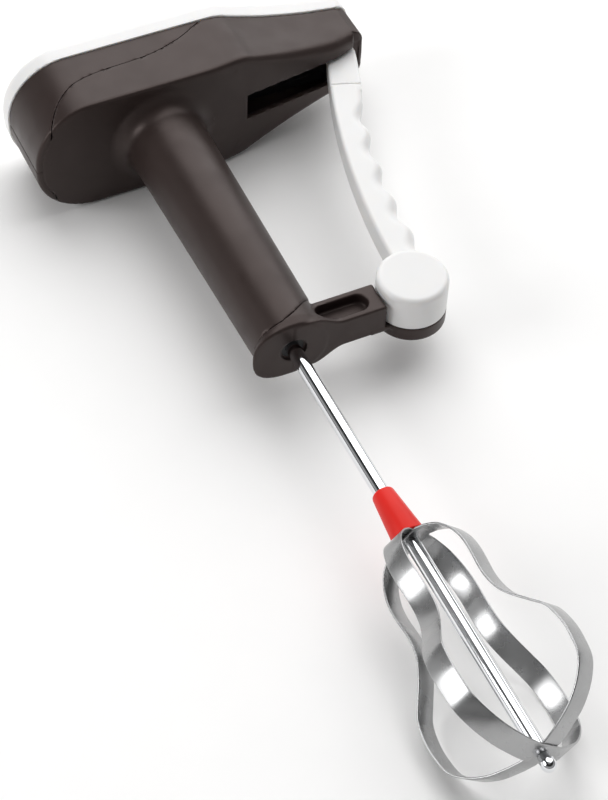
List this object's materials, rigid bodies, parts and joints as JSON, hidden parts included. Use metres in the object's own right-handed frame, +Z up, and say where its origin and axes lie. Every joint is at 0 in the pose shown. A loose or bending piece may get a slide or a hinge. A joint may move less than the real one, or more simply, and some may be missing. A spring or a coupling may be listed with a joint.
{
  "type": "egg beater",
  "caption": "Hand-squeezed egg beater: a lever beside the hollow grip drives a geared head, which spins a crossed-strip whisk on a long steel shaft.",
  "frame": {"origin": "on the surface that the beater lies on, under the middle of its box; the beater rests on one side of its head cover and on two wings of its whisk", "axes": "+Y along the drive shaft from the whisk to the head, +X from the shaft towards the squeeze lever, +Z up from the surface, parallel to the lever's hinge"},
  "size_m": [0.1554, 0.3706, 0.0552],
  "materials": {
    "brown_plastic": "satin moulded dark brown plastic with a fine grain",
    "white_plastic": "glossy white moulded plastic",
    "red_plastic": "glossy bright red plastic",
    "chrome_steel": "mirror-bright plated steel rod",
    "polished_steel": "polished stainless strip",
    "plate_steel": "zinc-plated steel",
    "spring_steel": "oiled spring steel",
    "black_acetal": "black moulded acetal"
  },
  "bodies": {
    "frame": {"head_housing": "brown_plastic", "head_cover": "white_plastic", "rear_shell_left": "brown_plastic", "rear_shell_right": "brown_plastic", "foot_bracket": "brown_plastic", "gear_bridge": "plate_steel", "bridge_screws": "plate_steel", "gear_axle": "plate_steel", "rack_guide": "black_acetal", "guide_screws": "plate_steel", "upper_bush": "black_acetal", "lower_bush": "black_acetal", "pivot_sleeve": "plate_steel", "return_spring": "spring_steel"},
    "lever": {"squeeze_lever": "white_plastic", "drive_pin": "plate_steel", "pivot_screw": "plate_steel", "pivot_washer": "plate_steel"},
    "rack": {"rack": "black_acetal"},
    "compound": {"compound_gear": "black_acetal"},
    "spindle": {"drive_shaft": "chrome_steel", "shaft_pinion": "plate_steel", "shaft_clip": "spring_steel", "ferrule": "red_plastic", "whisk_strip_outer": "polished_steel", "whisk_strip_inner": "polished_steel", "tip_cap": "chrome_steel"}
  },
  "joints": [
    {"name": "whisk_spin", "type": "hinge", "parent": "frame", "child": "spindle", "pos_m": [-0.0218, 0.0015, 0.0276], "axis": [0, -1, 0], "range_deg": [0, 1435]},
    {"name": "lever_squeeze", "type": "hinge", "parent": "frame", "child": "lever", "pos_m": [0.0322, 0.0233, 0.0276], "axis": [0, 0, 1], "range_deg": [0, 17], "stiffness_Nm_per_rad": 0.5, "springref_deg": -17.19, "deforming": ["return_spring"]},
    {"name": "rack_slide", "type": "slide", "parent": "frame", "child": "rack", "axis": [-1, 0, 0], "range_m": [0, 0.0418]},
    {"name": "compound_spin", "type": "hinge", "parent": "frame", "child": "compound", "pos_m": [-0.0026, 0.0015, 0.0276], "axis": [0, 1, 0], "range_deg": [0, 479]}
  ],
  "couplings": [
    {"joint": "lever_squeeze", "follows": "whisk_spin", "ratio": 0.01184},
    {"joint": "rack_slide", "follows": "whisk_spin", "m_per_rad": 0.0016667},
    {"joint": "compound_spin", "follows": "whisk_spin", "ratio": 0.33333}
  ]
}
